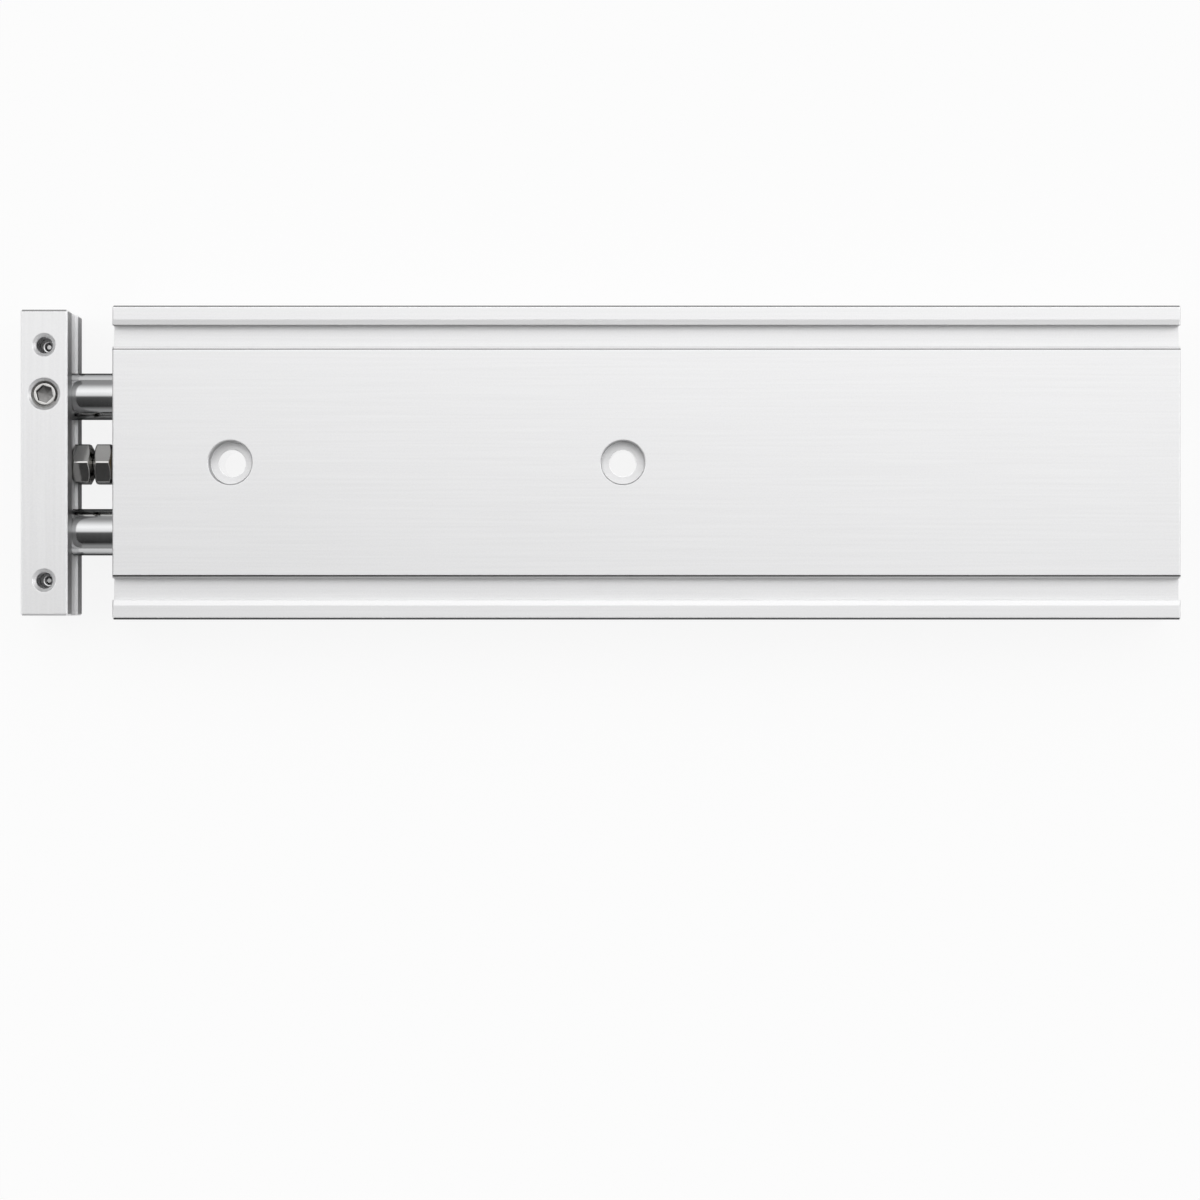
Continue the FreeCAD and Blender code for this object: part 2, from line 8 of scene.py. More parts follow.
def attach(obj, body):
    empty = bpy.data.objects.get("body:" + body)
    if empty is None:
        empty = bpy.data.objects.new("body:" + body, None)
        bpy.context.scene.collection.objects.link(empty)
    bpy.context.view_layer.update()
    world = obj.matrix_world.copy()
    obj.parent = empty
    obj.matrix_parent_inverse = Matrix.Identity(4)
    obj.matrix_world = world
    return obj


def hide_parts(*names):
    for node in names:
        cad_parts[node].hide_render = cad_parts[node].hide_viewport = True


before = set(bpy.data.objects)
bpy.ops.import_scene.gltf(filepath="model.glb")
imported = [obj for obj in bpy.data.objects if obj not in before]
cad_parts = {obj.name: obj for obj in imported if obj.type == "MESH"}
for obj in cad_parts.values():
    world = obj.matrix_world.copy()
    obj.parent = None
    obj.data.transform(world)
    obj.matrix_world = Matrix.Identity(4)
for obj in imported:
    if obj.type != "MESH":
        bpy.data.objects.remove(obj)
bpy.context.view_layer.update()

# Housing: an aluminium block extruded with two sensor grooves along its top, cut to length, bored
# for both pistons and drilled for two mounting screws. It is clear anodised to a satin silver with
# fine draw lines along the stroke. Its long edges and the rims of its grooves carry thin painted
# dark lines, a painted reflection and painted shade. Its drilled holes are bright.
mm = 0.001  # lengths are given in millimetres, and the scene is in metres
axis_height = 15
housing_corner = 54.6
corner_blend = 0.1
groove_rim = 28.85
rim_half_width = 0.17
rim_foot = 29.5
mounting_hole = 50
mounting_hole_reach = 3.5


class Value:
    """An output in a node tree. Arithmetic on values adds Math nodes, node() any other node."""

    def __init__(self, tree, output=None):
        self.tree = tree
        self.output = output

    def __getitem__(self, name):
        return Value(self.tree, self.output.node.outputs[name])

    def __add__(self, other):
        return self.math("ADD", self, other)

    def __sub__(self, other):
        return self.math("SUBTRACT", self, other)

    def __rsub__(self, other):
        return self.math("SUBTRACT", other, self)

    def __mul__(self, other):
        return self.math("MULTIPLY", self, other)

    __radd__ = __add__
    __rmul__ = __mul__

    def math(self, operation, *values):
        return self.node("Math", {"operation": operation}, dict(enumerate(values)))

    def node(self, kind, settings, inputs):
        """Adds a node, sets it up, then fills its sockets with numbers or links."""
        made = self.tree.nodes.new("ShaderNode" + kind)
        for name, setting in settings.items():
            if name == "stops":
                elements = made.color_ramp.elements
                elements.remove(elements[1])
                for number, (place, level) in enumerate(setting):
                    stop = elements.new(place) if number else elements[0]
                    stop.position = place
                    stop.color = (level, level, level, 1)
            else:
                setattr(made, name, setting)
        for name, given in inputs.items():
            if isinstance(name, int):
                socket = made.inputs[name]
            else:
                socket = next(s for s in made.inputs if s.enabled and s.name == name)
            if isinstance(given, Value):
                self.tree.links.new(given.output, socket)
            else:
                socket.default_value = given
        shown = [output for output in made.outputs if output.enabled]
        return Value(self.tree, shown[0] if shown else None)


def new_finish(name):
    """An empty material, the start of its node tree and the place on the piece, in metres."""
    finish = bpy.data.materials.new(name)
    finish.use_nodes = True
    finish.node_tree.nodes.clear()
    start = Value(finish.node_tree)
    return finish, start, start.node("TexCoord", {}, {})["Object"]


def pattern(place, stretch, detail=2.0):
    """Noise from 0 to 1, with this many marks in a metre along each axis."""
    spread = place.node("Mapping", {}, {"Vector": place, "Scale": stretch})
    return place.node("TexNoise", {}, {"Vector": spread, "Scale": 1.0, "Detail": detail})["Fac"]


def axes_of(vector):
    """The X, Y and Z of a vector, by name."""
    return vector.node("SeparateXYZ", {}, {"Vector": vector})


def metal(start, dark, light, tone, roughness, height, relief, rounding, edge=1.0):
    """A bare metal between two greys. Its relief and the rounding of its edges are in millimetres.

    An edge below 1 dims it where it is seen at a low angle.
    """
    colour = start.node("Mix", {"data_type": "RGBA"}, {"Factor": tone, "A": dark, "B": light})
    rounded = start.node("Bevel", {"samples": 8}, {"Radius": rounding * mm})
    bump = start.node(
        "Bump",
        {},
        {"Strength": 0.5, "Distance": relief * mm, "Height": height, "Normal": rounded},
    )
    return start.node(
        "BsdfPrincipled",
        {},
        {
            "Base Color": colour,
            "Metallic": 1.0,
            "Roughness": roughness,
            "Specular Tint": (edge, edge, edge, 1),
            "Normal": bump,
        },
    )


def laid_over(start, share, under, over):
    """One finish over another, where the share is 1."""
    return start.node("MixShader", {}, {0: share, 1: under, 2: over})


def cover(start, shader):
    start.node("OutputMaterial", {}, {"Surface": shader})


def anodised(start, place, line_stretch, edge):
    """Clear anodised aluminium, with draw lines along the axis that has the fewest of them."""
    lines = pattern(place, line_stretch, 3.0)
    grain = pattern(place, (2400, 2400, 2400))
    clouds = pattern(place, (16, 16, 16))
    tone = 0.5 + 0.9 * (lines - 0.5) + 0.7 * (grain - 0.5) + 0.5 * (clouds - 0.5)
    roughness = 0.4 + 0.06 * (lines - 0.5) + 0.05 * (clouds - 0.5)
    dark = (0.82, 0.82, 0.825, 1)
    light = (0.92, 0.92, 0.925, 1)
    height = lines + 0.8 * grain
    return metal(
        start, dark, light, tone, roughness, height, relief=0.006, rounding=0.2, edge=edge
    )


def along_corners(start, place, reach):
    """Marks a block's long corners, where width and height from the axis add up to this reach."""
    axes = axes_of(place)
    height = start.math("ABSOLUTE", axes["Z"] - axis_height * mm)
    return start.node(
        "MapRange",
        {},
        {
            "Value": start.math("ABSOLUTE", axes["Y"]) + height,
            "From Min": (reach - corner_blend) * mm,
            "From Max": reach * mm,
        },
    )


def painted_dark_edge(start, place):
    """Painted dark edge lines on aluminium: a painted reflection and painted shade, darkest on the
    left-hand side.
    """
    edge_streaks = pattern(place, (60, 900, 900), 3.0)
    on_right = start.math("LESS_THAN", axes_of(place)["Y"], 0.0)
    tone = 0.2 * edge_streaks + 0.8 * on_right
    roughness = 0.2
    dark = (0.05, 0.05, 0.052, 1)
    light = (0.37, 0.37, 0.375, 1)
    return metal(start, dark, light, tone, roughness, edge_streaks, relief=0.002, rounding=0.05, edge=0.6)


def drilled_bright(start, place):
    """Aluminium on the wall of an upright drilled hole, with rings from the drill."""
    rings = pattern(place, (40, 40, 1500), 3.0)
    roughness = 0.1
    dark = (0.88, 0.88, 0.885, 1)
    light = (0.96, 0.96, 0.965, 1)
    return metal(start, dark, light, rings, roughness, rings, relief=0.002, rounding=0.05)


def dress(finish, *names):
    """Gives a finish to CAD nodes."""
    for name in names:
        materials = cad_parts[name].data.materials
        materials.clear()
        materials.append(finish)


housing_finish, start, place = new_finish("housing_anodised")
satin = anodised(start, place, (22, 1500, 1500), 0.5)
axes = axes_of(place)
# A thin painted dark line on each groove's rim joins the painted dark lines on the long corners.
from_rim = start.math("ABSOLUTE", start.math("ABSOLUTE", axes["Y"]) - groove_rim * mm)
on_top = start.math("GREATER_THAN", axes["Z"], rim_foot * mm)
rim = start.math("LESS_THAN", from_rim, rim_half_width * mm) * on_top
painted_edge_share = start.math("MAXIMUM", along_corners(start, place, housing_corner), rim)
outside = laid_over(start, painted_edge_share, satin, painted_dark_edge(start, place))
from_hole = start.math("ABSOLUTE", axes["X"]) - mounting_hole * mm
hole_radius = start.math("SQRT", from_hole * from_hole + axes["Y"] * axes["Y"])
drilled = start.math("LESS_THAN", hole_radius, mounting_hole_reach * mm)
cover(start, laid_over(start, drilled, outside, drilled_bright(start, place)))
dress(housing_finish, "housing")

# Port plugs: two steel plugs with punched hexagon sockets that close the unused ports on one side.
# They are turned, threaded, nickel plated outside and screwed in just under the face.
socket_sides = 48
thread_sides = 32
merge_distance = 0.001
level_tolerance = 0.0001
cone_share = 0.12
root_share = 0.3
sharp_angle = 28
plug_face = 39.4
port_face = 40
port_places = (43.0, -174.5)


def turn_outline(shape, outline):
    """Turns a shape about Z, from (radius, height) corners given in millimetres."""
    corners = [shape.verts.new((radius * mm, 0, height * mm)) for radius, height in outline]
    edges = [shape.edges.new(pair) for pair in zip(corners, corners[1:])]
    bmesh.ops.spin(
        shape,
        geom=corners + edges,
        axis=(0, 0, 1),
        angle=math.tau,
        steps=socket_sides,
        use_merge=True,
    )
    bmesh.ops.remove_doubles(shape, verts=shape.verts, dist=merge_distance * mm)


def at(x, y, z, turn):
    """Where a shape modelled about Z goes, in millimetres, after it is turned."""
    return Matrix.Translation(Vector((x, y, z)) * mm) @ turn


def cut_socket(shape, flats, depth, turn):
    """Closes the open end at height 0 with a hexagon socket and the drilled cone at its foot."""
    rim = [
        edge
        for edge in shape.edges
        if edge.is_boundary and abs(edge.verts[0].co.z) < level_tolerance * mm
    ]
    hexagon = bmesh.ops.create_circle(
        shape,
        segments=6,
        radius=flats / math.sqrt(3) * mm,
        matrix=at(0, 0, -depth, Matrix.Rotation(math.radians(turn), 4, "Z")),
    )["verts"]
    sides = list({edge for corner in hexagon for edge in corner.link_edges})
    bmesh.ops.subdivide_edges(shape, edges=sides, cuts=socket_sides // 6 - 1)
    mouth = [edge for edge in shape.edges if edge.is_wire]
    bmesh.ops.bridge_loops(shape, edges=rim + mouth)
    brim = list({corner for edge in mouth for corner in edge.verts})
    bmesh.ops.translate(shape, vec=(0, 0, depth * mm), verts=brim)
    for drop, share in ((depth, 1.0), (flats * cone_share, 0.0)):
        sunk = bmesh.ops.extrude_edge_only(shape, edges=mouth)["geom"]
        corners = [part for part in sunk if isinstance(part, bmesh.types.BMVert)]
        bmesh.ops.translate(shape, vec=(0, 0, -drop * mm), verts=corners)
        bmesh.ops.scale(shape, vec=(share, share, 1), verts=corners)
        mouth = [part for part in sunk if isinstance(part, bmesh.types.BMEdge)]
        for part in sunk:
            if isinstance(part, bmesh.types.BMFace):
                part.material_index = 1
    bmesh.ops.remove_doubles(shape, verts=shape.verts, dist=merge_distance * mm)


def add_thread(shape, wall, crest, pitch, low, high):
    """Winds a ridge round Z between two heights, from just under the wall to the crest."""
    foot = wall - (crest - wall) * root_share
    section = [(foot, 0.06), (crest, 0.42), (crest, 0.58), (foot, 0.94)]
    corners = [
        shape.verts.new((radius * mm, 0, (low + rise * pitch) * mm)) for radius, rise in section
    ]
    face = shape.faces.new(corners)
    steps = round((high - low - pitch) / pitch * thread_sides)
    bmesh.ops.spin(
        shape,
        geom=[face] + face.edges[:] + corners,
        axis=(0, 0, 1),
        dvec=(0, 0, pitch * mm / thread_sides),
        angle=math.tau / thread_sides * steps,
        steps=steps,
    )


def repeat(shape, places):
    """Moves a shape that is modelled about Z to each of these places."""
    model = shape.verts[:] + shape.edges[:] + shape.faces[:]
    for place in places:
        copy = bmesh.ops.duplicate(shape, geom=model)["geom"]
        corners = [part for part in copy if isinstance(part, bmesh.types.BMVert)]
        bmesh.ops.transform(shape, matrix=place, verts=corners)
    bmesh.ops.delete(shape, geom=[part for part in model if isinstance(part, bmesh.types.BMVert)])


def make_piece(name, shape, finishes, slot, body, *replaced):
    """Closes a modelled shape and puts it on its body, in place of the nodes that it replaces."""
    bmesh.ops.recalc_face_normals(shape, faces=shape.faces)
    for face in shape.faces:
        face.smooth = True
    for edge in shape.edges:
        edge.smooth = edge.calc_face_angle(math.pi) < math.radians(sharp_angle)
    mesh = bpy.data.meshes.new(name)
    shape.to_mesh(mesh)
    shape.free()
    for finish in finishes:
        mesh.materials.append(finish)
    piece = bpy.data.objects.new(name, mesh)
    bpy.context.scene.collection.objects.link(piece)
    piece.modifiers.new("flat_faces", "WEIGHTED_NORMAL").keep_sharp = True
    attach(piece, body)
    if replaced:
        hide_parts(*replaced)


def nickel_plated(name):
    finish, start, place = new_finish(name)
    turning = pattern(place, (900, 900, 900), 3.0)
    smears = pattern(place, (160, 160, 160))
    roughness = 0.09 + 0.04 * (turning - 0.5) + 0.04 * (smears - 0.5)
    dark = (0.58, 0.575, 0.565, 1)
    light = (0.72, 0.715, 0.70, 1)
    plate = metal(
        start, dark, light, smears, roughness, turning, relief=0.004, rounding=0.25, edge=0.3
    )
    cover(start, plate)
    return finish


def punched_steel(name):
    finish, start, place = new_finish(name)
    scale = pattern(place, (1500, 1500, 1500), 3.0)
    blotches = pattern(place, (420, 420, 420))
    tone = 0.5 * scale + 0.5 * blotches
    roughness = 0.32 + 0.2 * (blotches - 0.5)
    # The socket's faces are a dark steel, darker than the plated outside.
    dark = (0.12, 0.118, 0.115, 1)
    light = (0.34, 0.335, 0.33, 1)
    steel = metal(start, dark, light, tone, roughness, scale, relief=0.012, rounding=0.1, edge=0.3)
    cover(start, steel)
    return finish


nickel = nickel_plated("nickel_plated_steel")
socket_steel = nickel, punched_steel("punched_socket")
upright = Matrix.Identity(4)
facing_right_side = Matrix.Rotation(math.pi / 2, 4, "X")
facing_left_side = Matrix.Rotation(-math.pi / 2, 4, "X")
plug = bmesh.new()
turn_outline(plug, [(0, -6), (3.5, -6), (3.9, -5.6), (3.9, -0.5), (3.55, 0)])
cut_socket(plug, flats=5.0, depth=3.5, turn=8)
add_thread(plug, wall=3.9, crest=4.25, pitch=0.91, low=-5.9, high=-0.2)
repeat(plug, [at(x, -plug_face, axis_height, facing_right_side) for x in port_places])
make_piece("port_plugs_threaded", plug, socket_steel, "plated_steel", "cylinder", "port_plugs")

# Threads of the open ports: cut in the housing's own aluminium, on the side that takes fittings.
# Each starts under the countersunk mouth.
port_thread = bmesh.new()
add_thread(port_thread, wall=4.3, crest=4.05, pitch=0.91, low=-7.2, high=-1.0)
repeat(port_thread, [at(x, port_face, axis_height, facing_left_side) for x in port_places])
thread_finish, start, place = new_finish("thread_anodised")
cover(start, anodised(start, place, (300, 300, 300), 0.5))
make_piece("port_threads", port_thread, [thread_finish], "anodised_aluminium", "cylinder")

# Stop bumper: a cast urethane button pressed into the front face, where the bumper bolt lands.
# The end-of-stroke pads inside the bores are cast from the same amber urethane.
def moulded(start, dark, light, tone, roughness, skin, strength, relief):
    """A cast or moulded rubber between two colours, with the relief of its skin in millimetres."""
    colour = start.node("Mix", {"data_type": "RGBA"}, {"Factor": tone, "A": dark, "B": light})
    bump = start.node("Bump", {}, {"Strength": strength, "Distance": relief * mm, "Height": skin})
    return start.node(
        "BsdfPrincipled", {}, {"Base Color": colour, "Roughness": roughness, "Normal": bump}
    )


def cast_urethane(name):
    finish, start, place = new_finish(name)
    swirl = pattern(place, (420, 420, 420), 4.0)
    skin = pattern(place, (2600, 2600, 2600))
    roughness = 0.34 + 0.12 * skin
    dark = (0.50, 0.34, 0.10, 1)
    light = (0.70, 0.54, 0.25, 1)
    cover(start, moulded(start, dark, light, swirl, roughness, skin, strength=0.4, relief=0.01))
    return finish


def in_both_bores(*names):
    """The nodes of like pieces, one in each bore."""
    return [name + side for name in names for side in ("_a", "_b")]


urethane = cast_urethane("cast_urethane")
dress(urethane, "stop_bumper", *in_both_bores("rod_end_bumper", "head_end_bumper"))

# Piston rods: ground steel bars, hard chromed and polished. Grinding leaves very fine rings round
# the bar, and handling a few faint smears.
def hard_chromed(name):
    finish, start, place = new_finish(name)
    rings = pattern(place, (2600, 25, 25), 3.0)
    smears = pattern(place, (60, 240, 240))
    roughness = 0.075 + 0.05 * (rings - 0.5) + 0.06 * (smears - 0.5)
    dark = (0.53, 0.535, 0.54, 1)
    light = (0.62, 0.625, 0.63, 1)
    chrome = metal(
        start, dark, light, smears, roughness, rings, relief=0.001, rounding=0.1, edge=0.0
    )
    cover(start, chrome)
    return finish


dress(hard_chromed("hard_chromed_steel"), *in_both_bores("piston_rod"))

# Pistons, magnet holders and covers: turned from aluminium bar and clear anodised. The tool leaves
# rings about each bore's axis. The covers slide into the bores and close them.
rod_offset = 17.5


def turned_aluminium(name):
    finish, start, place = new_finish(name)
    axes = axes_of(place)
    across = start.math("ABSOLUTE", axes["Y"]) - rod_offset * mm
    up = axes["Z"] - axis_height * mm
    radius = start.math("SQRT", across * across + up * up)
    rings = start.node(
        "TexNoise",
        {"noise_dimensions": "1D"},
        {"W": radius * 3200 + axes["X"] * 2900, "Scale": 1.0, "Detail": 2.0},
    )["Fac"]
    clouds = pattern(place, (120, 120, 120))
    roughness = 0.3 + 0.12 * (rings - 0.5) + 0.06 * (clouds - 0.5)
    dark = (0.64, 0.64, 0.66, 1)
    light = (0.82, 0.82, 0.84, 1)
    tone = 0.6 * rings + 0.4 * clouds
    cover(start, metal(start, dark, light, tone, roughness, rings, relief=0.006, rounding=0.1))
    return finish


turned = turned_aluminium("turned_aluminium")
dress(turned, *in_both_bores("piston", "magnet_holder", "rod_cover", "head_cover"))

# Piston magnets: bonded magnet rings on the pistons' noses, pressed from dark grey powder. The
# position sensors in the grooves read them.
def bonded_magnet(name):
    finish, start, place = new_finish(name)
    powder = pattern(place, (1800, 1800, 1800), 4.0)
    roughness = 0.5 + 0.2 * (powder - 0.5)
    dark = (0.12, 0.12, 0.125, 1)
    light = (0.22, 0.22, 0.23, 1)
    cover(start, metal(start, dark, light, powder, roughness, powder, relief=0.02, rounding=0.1))
    return finish


dress(bonded_magnet("bonded_magnet"), *in_both_bores("piston_magnet"))

# Seals and O-rings: black nitrile rubber, moulded. They sit in grooves in the pistons and covers.
# The skin is matt, with a fine mould grain and a bloom of paler dust.
def moulded_nitrile(name):
    finish, start, place = new_finish(name)
    bloom = pattern(place, (300, 300, 300), 3.0)
    skin = pattern(place, (3000, 3000, 3000))
    roughness = 0.48 + 0.2 * bloom
    dark = (0.016, 0.016, 0.017, 1)
    light = (0.05, 0.05, 0.05, 1)
    cover(start, moulded(start, dark, light, bloom, roughness, skin, strength=0.5, relief=0.012))
    return finish


nitrile = moulded_nitrile("moulded_nitrile")
dress(
    nitrile, *in_both_bores("piston_seal", "rod_seal", "rod_cover_o_ring", "head_cover_o_ring")
)

# Piston nuts: hexagon nuts of the same nickel plated steel as the plugs. They are sunk in the
# pistons' tails and hold the pistons on the rods.
dress(nickel, *in_both_bores("piston_nut"))

# Retaining rings: stamped spring steel, phosphated dark. Each is squeezed by its two eyes and
# springs into a groove in the bore, in front of its cover.
def phosphated(name):
    finish, start, place = new_finish(name)
    crystals = pattern(place, (2200, 2200, 2200), 3.0)
    clouds = pattern(place, (350, 350, 350))
    tone = 0.6 * crystals + 0.4 * clouds
    dark = (0.07, 0.07, 0.075, 1)
    light = (0.19, 0.19, 0.195, 1)
    roughness = 0.42 + 0.2 * (crystals - 0.5)
    cover(start, metal(start, dark, light, tone, roughness, crystals, relief=0.012, rounding=0.15))
    return finish


rings_finish = phosphated("phosphated_steel")
dress(rings_finish, *in_both_bores("front_retaining_ring", "rear_retaining_ring"))

# End plate: sawn from flat aluminium bar, milled, drilled and tapped, then clear anodised like the
# housing. Its inner face is milled bare on both sides of the groove that seats the rods. Those
# lands are coloured a darker grey as painted shade, and they turn dark at a low angle. Its long
# corners carry painted dark edge lines too, strongest on the right-hand side.
groove_step = 91.9
plate_corner = 52.6
facing_limit = -0.85
milled_share = 0.96
plate_finish, start, place = new_finish("plate_anodised")
satin = anodised(start, place, (1200, 30, 1200), 0.95)
# The milled lands' darker grey is painted shade of the gap that they mirror.
marks = pattern(place, (1200, 30, 1200), 3.0)
roughness = 0.36
dark = (0.50, 0.50, 0.505, 1)
light = (0.60, 0.60, 0.605, 1)
milled_in_painted_shade = metal(start, dark, light, marks, roughness, marks, relief=0.006, rounding=0.2, edge=0.5)
normal = start.node("TexCoord", {}, {})["Normal"]
facing_back = start.math("LESS_THAN", axes_of(normal)["X"], facing_limit)
axes = axes_of(place)
sunk = start.math("GREATER_THAN", axes["X"], groove_step * mm)
inside = laid_over(start, milled_share * facing_back * (1 - sunk), satin, milled_in_painted_shade)
# Painted dark edge lines along the plate's long corners: painted reflection and shade, strongest
# on the right-hand side.
on_right = start.math("LESS_THAN", axes["Y"], 0.0)
painted_edge_share = along_corners(start, place, plate_corner) * (0.2 + 0.8 * on_right)
cover(start, laid_over(start, painted_edge_share, inside, painted_dark_edge(start, place)))
dress(plate_finish, "end_plate")

# Threads of the plate's tapped holes: M5, two in its top, two in its underside and four in its
# front. Each is cut in bare metal under the countersunk mouth, and the drill leaves rings in the
# hole's foot. Thread and foot are a mid grey, painted shade deep in the hole.
plate_middle = 97.5
plate_front = 103.5
plate_top = 29
plate_underside = 1
top_tap_offset = 30
front_tap_offset = 24
front_tap_heights = (6, 24)


def cut_and_shaded(name):
    finish, start, place = new_finish(name)
    chatter = pattern(place, (2200, 2200, 2200), 3.0)
    # A mid grey, darker than bare cut aluminium: painted shade deep in the hole.
    dark = (0.42, 0.42, 0.425, 1)
    light = (0.68, 0.68, 0.685, 1)
    roughness = 0.14 + 0.08 * (chatter - 0.5)
    cover(
        start, metal(start, dark, light, chatter, roughness, chatter, relief=0.003, rounding=0.05)
    )
    return finish


facing_front = Matrix(((0, 0, 1, 0), (1, 0, 0, 0), (0, 1, 0, 0), (0, 0, 0, 1)))
facing_down = Matrix.Rotation(math.pi, 4, "X")
tap_thread = bmesh.new()
add_thread(tap_thread, wall=2.1, crest=1.94, pitch=0.8, low=-8.8, high=-1.0)
foot = [(0, -10.2), (2.05, -9.05), (1.65, -9.35), (1.15, -9.38), (0.55, -9.75), (0, -9.75)]
turn_outline(tap_thread, foot)
sides = (1, -1)
tap_places = [at(plate_middle, side * top_tap_offset, plate_top, upright) for side in sides]
tap_places += [
    at(plate_middle, side * top_tap_offset, plate_underside, facing_down) for side in sides
]
tap_places += [
    at(plate_front, side * front_tap_offset, height, facing_front)
    for side in sides
    for height in front_tap_heights
]
repeat(tap_thread, tap_places)
tap_finish = cut_and_shaded("cut_bright_aluminium")
make_piece("plate_tap_threads", tap_thread, [tap_finish], "anodised_aluminium", "carriage")

# Rod screws: a nickel plated socket set screw bears on the flat of one rod from the plate's top,
# and a socket cap screw goes through the plate into the end of the other rod.
set_screw_top = 28.1
cap_screw_face = 103.1
set_screw = bmesh.new()
turn_outline(set_screw, [(0, -7.9), (2.6, -7.9), (3.0, -7.5), (3.0, -0.5), (2.75, 0)])
cut_socket(set_screw, flats=4.0, depth=2.6, turn=12.5)
add_thread(set_screw, wall=3.0, crest=3.35, pitch=1.0, low=-7.6, high=-0.2)
repeat(set_screw, [at(plate_middle, -rod_offset, set_screw_top, upright)])
make_piece("rod_set_screw", set_screw, socket_steel, "plated_steel", "carriage", "rod_set_screw_b")

cap_screw = bmesh.new()
shank = [(0, -20.8), (1.7, -20.8), (2.1, -20.4), (2.1, -10.8), (2.95, -10.6), (2.95, -6)]
head = [(5, -6), (5, -0.5), (4.85, -0.15), (4.5, 0)]
turn_outline(cap_screw, shank + head)
cut_socket(cap_screw, flats=5.0, depth=2.6, turn=4)
add_thread(cap_screw, wall=2.1, crest=2.45, pitch=1.0, low=-20.6, high=-10.9)
repeat(cap_screw, [at(cap_screw_face, rod_offset, axis_height, facing_front)])
make_piece("rod_cap_screw", cap_screw, socket_steel, "plated_steel", "carriage", "rod_cap_screw_a")

# Bumper bolt and lock nut: nickel plated steel. The hexagons are drawn bar with softened corners,
# turned off at 30 degrees at both ends. The bolt is threaded up to its head and screwed through
# the plate, and the nut locks it.
hexagon_flats = 10.0
hexagon_turn = 3.5
corner_softening = 0.4
chamfer_slope = math.tan(math.radians(30))
chamfer_steps = 72
cut_tolerance = 0.00001
bolt_head_face = 81.6
nut_height = 6.0
nut_face = 86.3


def hexagon_bar(height, chamfer):
    """A hexagon along Z from height 0, with its corners softened and turned off at both ends."""
    shape = bmesh.new()
    corner_radius = hexagon_flats / math.sqrt(3)
    bmesh.ops.create_circle(
        shape,
        cap_ends=True,
        segments=6,
        radius=corner_radius * mm,
        matrix=Matrix.Rotation(math.radians(hexagon_turn), 4, "Z"),
    )
    lifted = bmesh.ops.extrude_face_region(shape, geom=shape.faces[:])["geom"]
    top = [part for part in lifted if isinstance(part, bmesh.types.BMVert)]
    bmesh.ops.translate(shape, vec=(0, 0, height * mm), verts=top)
    sides = [edge for edge in shape.edges if abs(edge.verts[0].co.z - edge.verts[1].co.z) > mm]
    bmesh.ops.bevel(
        shape,
        geom=sides,
        offset=corner_softening * mm,
        offset_type="OFFSET",
        affect="EDGES",
        segments=6,
        profile=0.5,
        material=-1,
    )
    end_radius = corner_radius - chamfer
    for end, out in ((0, -1), (height, 1)):
        for step in range(chamfer_steps):
            angle = math.tau * step / chamfer_steps
            across = Vector((math.cos(angle), math.sin(angle), 0))
            cut = bmesh.ops.bisect_plane(
                shape,
                geom=shape.verts[:] + shape.edges[:] + shape.faces[:],
                dist=cut_tolerance * mm,
                plane_co=(across * end_radius + Vector((0, 0, end))) * mm,
                plane_no=across * chamfer_slope + Vector((0, 0, out)),
                clear_outer=True,
            )["geom_cut"]
            edges = [part for part in cut if isinstance(part, bmesh.types.BMEdge)]
            bmesh.ops.edgeloop_fill(shape, edges=edges)
    return shape


def bore_through(shape, height, wall):
    """Joins both flat ends of a bar along Z by a hole that leaves a wall of this width."""
    ends = [
        face
        for face in shape.faces
        for z in (0, height)
        if all(abs(corner.co.z - z * mm) < level_tolerance * mm for corner in face.verts)
    ]
    bmesh.ops.inset_individual(shape, faces=ends, thickness=wall * mm)
    rims = [edge for face in ends for edge in face.edges]
    bmesh.ops.delete(shape, geom=ends, context="FACES_ONLY")
    bmesh.ops.bridge_loops(shape, edges=rims)


bolt = hexagon_bar(height=4.3, chamfer=1.0)
turn_outline(bolt, [(0, 4.2), (2.1, 4.2), (2.1, 20.7), (1.8, 21.3), (0, 21.3)])
add_thread(bolt, wall=2.1, crest=2.5, pitch=1.0, low=4.5, high=21.2)
repeat(bolt, [at(bolt_head_face, 0, axis_height, facing_front)])
make_piece("stroke_bumper_bolt", bolt, [nickel], "plated_steel", "stroke_adjuster", "bumper_bolt")

nut = hexagon_bar(nut_height, chamfer=2.3)
bore_through(nut, nut_height, wall=0.92)
repeat(nut, [at(nut_face, 0, axis_height, facing_front)])
make_piece("bolt_lock_nut", nut, [nickel], "plated_steel", "carriage", "lock_nut")

# Floor: a plain pale sheet under the cylinder. It mostly glows, so that it shows near white to the
# eye and in the metal, and keeps some of the part's shadow. What the metal mirrors of it is dimmed
# by a painted shadow round the gap and the end plate.
floor_radius = 8000
floor_drop = 0.05
gap_middle = 91.75
gap_half_length = 11.75
gap_half_width = 40
shadow_start = -2
shadow_end = 25
shadow_level = 0.1
glow_share = 0.88
floor_shape = bmesh.new()
bmesh.ops.create_circle(
    floor_shape,
    cap_ends=True,
    segments=96,
    radius=floor_radius * mm,
    matrix=Matrix.Translation((0, 0, -floor_drop * mm)),
)
floor_mesh = bpy.data.meshes.new("floor")
floor_shape.to_mesh(floor_mesh)
floor_shape.free()
floor = bpy.data.objects.new("floor", floor_mesh)
bpy.context.scene.collection.objects.link(floor)
floor_finish, floor_start, floor_place = new_finish("pale_floor")
light_path = floor_start.node("LightPath", {}, {})
mirrored = light_path["Is Glossy Ray"] + light_path["Is Transmission Ray"]
axes = axes_of(floor_place)
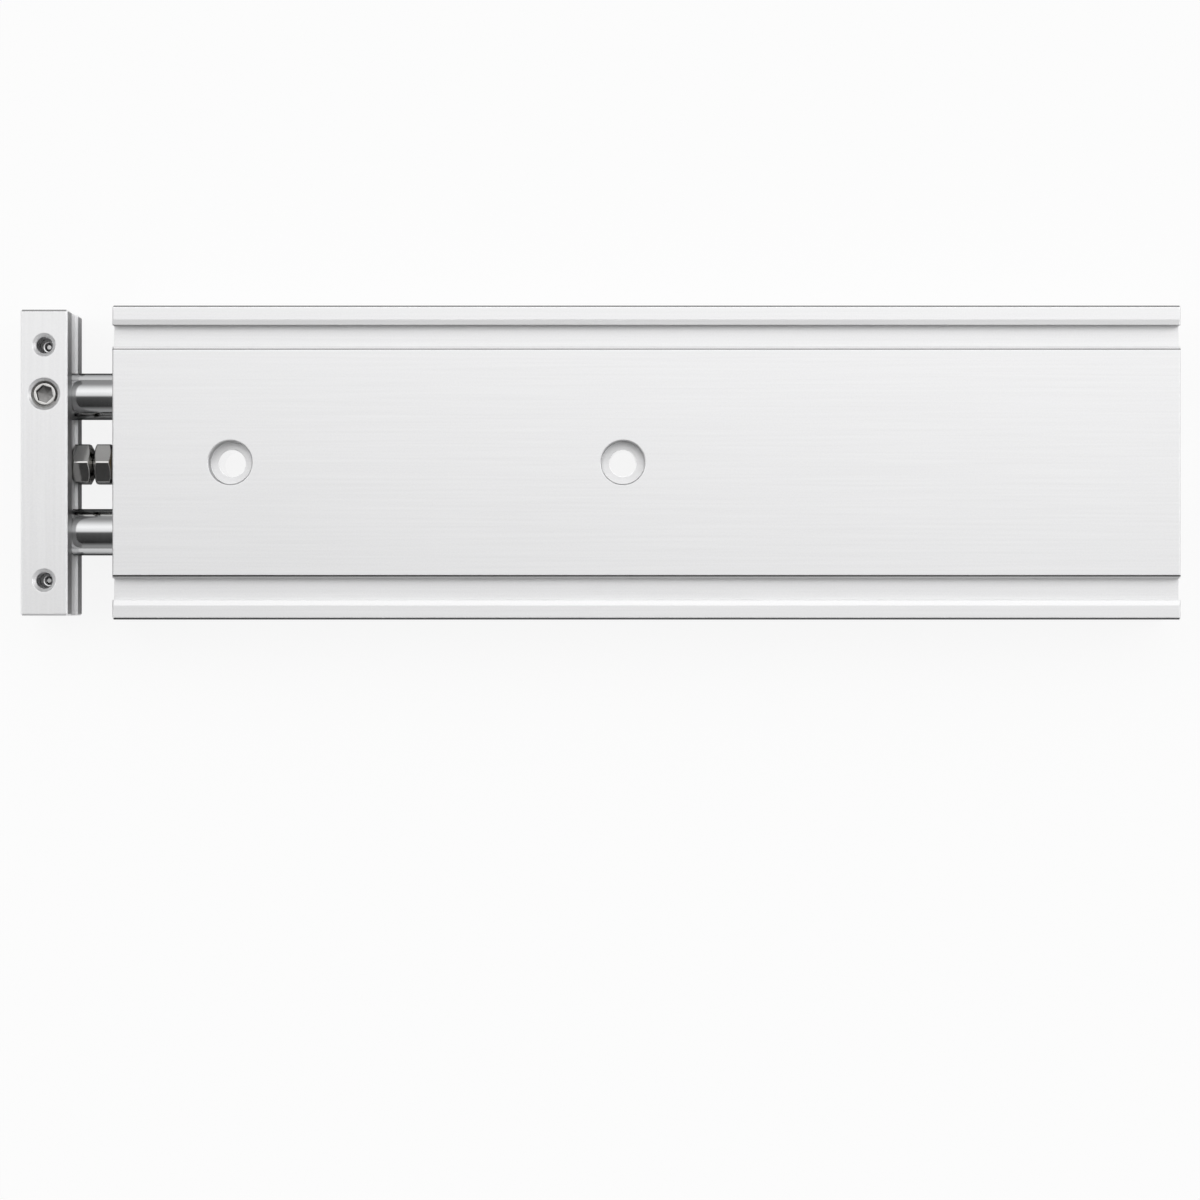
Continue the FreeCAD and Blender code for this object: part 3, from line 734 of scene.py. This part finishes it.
# Painted shadow: for mirrored rays the glow falls to a tenth in the gap and under the plate, and
# fades back over 25 mm.
along = floor_start.math("ABSOLUTE", axes["X"] - gap_middle * mm) - gap_half_length * mm
across = floor_start.math("ABSOLUTE", axes["Y"]) - gap_half_width * mm
clear = floor_start.node(
    "MapRange",
    {},
    {
        "Value": floor_start.math("MAXIMUM", along, across),
        "From Min": shadow_start * mm,
        "From Max": shadow_end * mm,
        "To Min": shadow_level,
    },
)
seen = glow_share * (light_path["Is Camera Ray"] + mirrored * clear)
paper = floor_start.node("BsdfDiffuse", {}, {"Color": (0.95, 0.95, 0.95, 1)})
glow = floor_start.node("Emission", {}, {"Color": (1, 1, 1, 1), "Strength": 1.0})
cover(floor_start, laid_over(floor_start, seen, paper, glow))
floor_mesh.materials.append(floor_finish)

# Studio light: a long soft box over the right-hand side, with a clean edge near the zenith, and a
# pale ceiling beside it, with a dark gap beyond the end plate. The levels follow the angle from
# the zenith towards the right-hand side, and the reach along the stroke.
world = bpy.data.worlds.new("studio")
bpy.context.scene.world = world
world.use_nodes = True
world.node_tree.nodes.clear()
sky = Value(world.node_tree)
ray = axes_of(sky.node("TexCoord", {}, {})["Generated"])
tilt = sky.math("ARCTAN2", ray["Y"] * -1, ray["Z"]) * math.degrees(1)
brightest = 2.0


def light_along(place, *levels):
    """The light at a place, from (place, level) pairs in rising order."""
    first = levels[0][0]
    reach = levels[-1][0] - first
    stops = [((mark - first) / reach, level / brightest) for mark, level in levels]
    share = (place - first) * (1 / reach)
    return sky.node("ValToRGB", {"stops": stops}, {"Fac": share}) * brightest


over_housing = light_along(
    tilt,
    (-90, 0.36),
    (-78, 0.46),
    (-66, 0.58),
    (-48, 0.62),
    (-28, 0.48),
    (-5, 0.42),
    (1, 1.12),
    (6, 1.85),
    (20, 1.85),
    (30, 1.55),
    (42, 1.12),
    (55, 0.85),
    (70, 0.42),
    (90, 0.30),
)
beyond_plate = light_along(
    tilt,
    (-90, 0.40),
    (-72, 0.38),
    (-62, 0.18),
    (-54, 0.03),
    (-25, 0.07),
    (-14, 0.09),
    (-5, 0.13),
    (0, 0.55),
    (4, 1.10),
    (10, 1.25),
    (25, 1.55),
    (36, 1.35),
    (46, 0.98),
    (57, 0.62),
    (66, 0.42),
    (90, 0.40),
)
along_stroke = light_along(
    ray["X"],
    (-1.0, 1.25),
    (-0.65, 1.15),
    (-0.40, 0.76),
    (-0.17, 0.79),
    (-0.05, 1.08),
    (0.10, 1.02),
    (0.30, 0.96),
    (0.60, 0.90),
    (1.0, 1.05),
)
to_plate = light_along(ray["X"], (-1.0, 0), (0.02, 0), (0.12, 1), (0.40, 1), (0.62, 0), (1.0, 0))
level = (over_housing * (1 - to_plate) + beyond_plate * to_plate) * along_stroke
background = sky.node("Background", {}, {"Color": level, "Strength": 1.0})
sky.node("OutputWorld", {}, {"Surface": background})

# Camera: straight down on the cylinder, with the end plate at the left of the picture. A long lens
# from about a metre shows a little of the plate's inner face.
camera_data = bpy.data.cameras.new("camera")
camera_data.sensor_width = 36
camera_data.lens = 117.87
camera = bpy.data.objects.new("camera", camera_data)
bpy.context.scene.collection.objects.link(camera)
camera.location = (-44.15 * mm, 35 * mm, 1030 * mm)
camera.rotation_euler = (0, 0, math.pi)
bpy.context.scene.camera = camera
bpy.context.scene.view_settings.view_transform = "Standard"
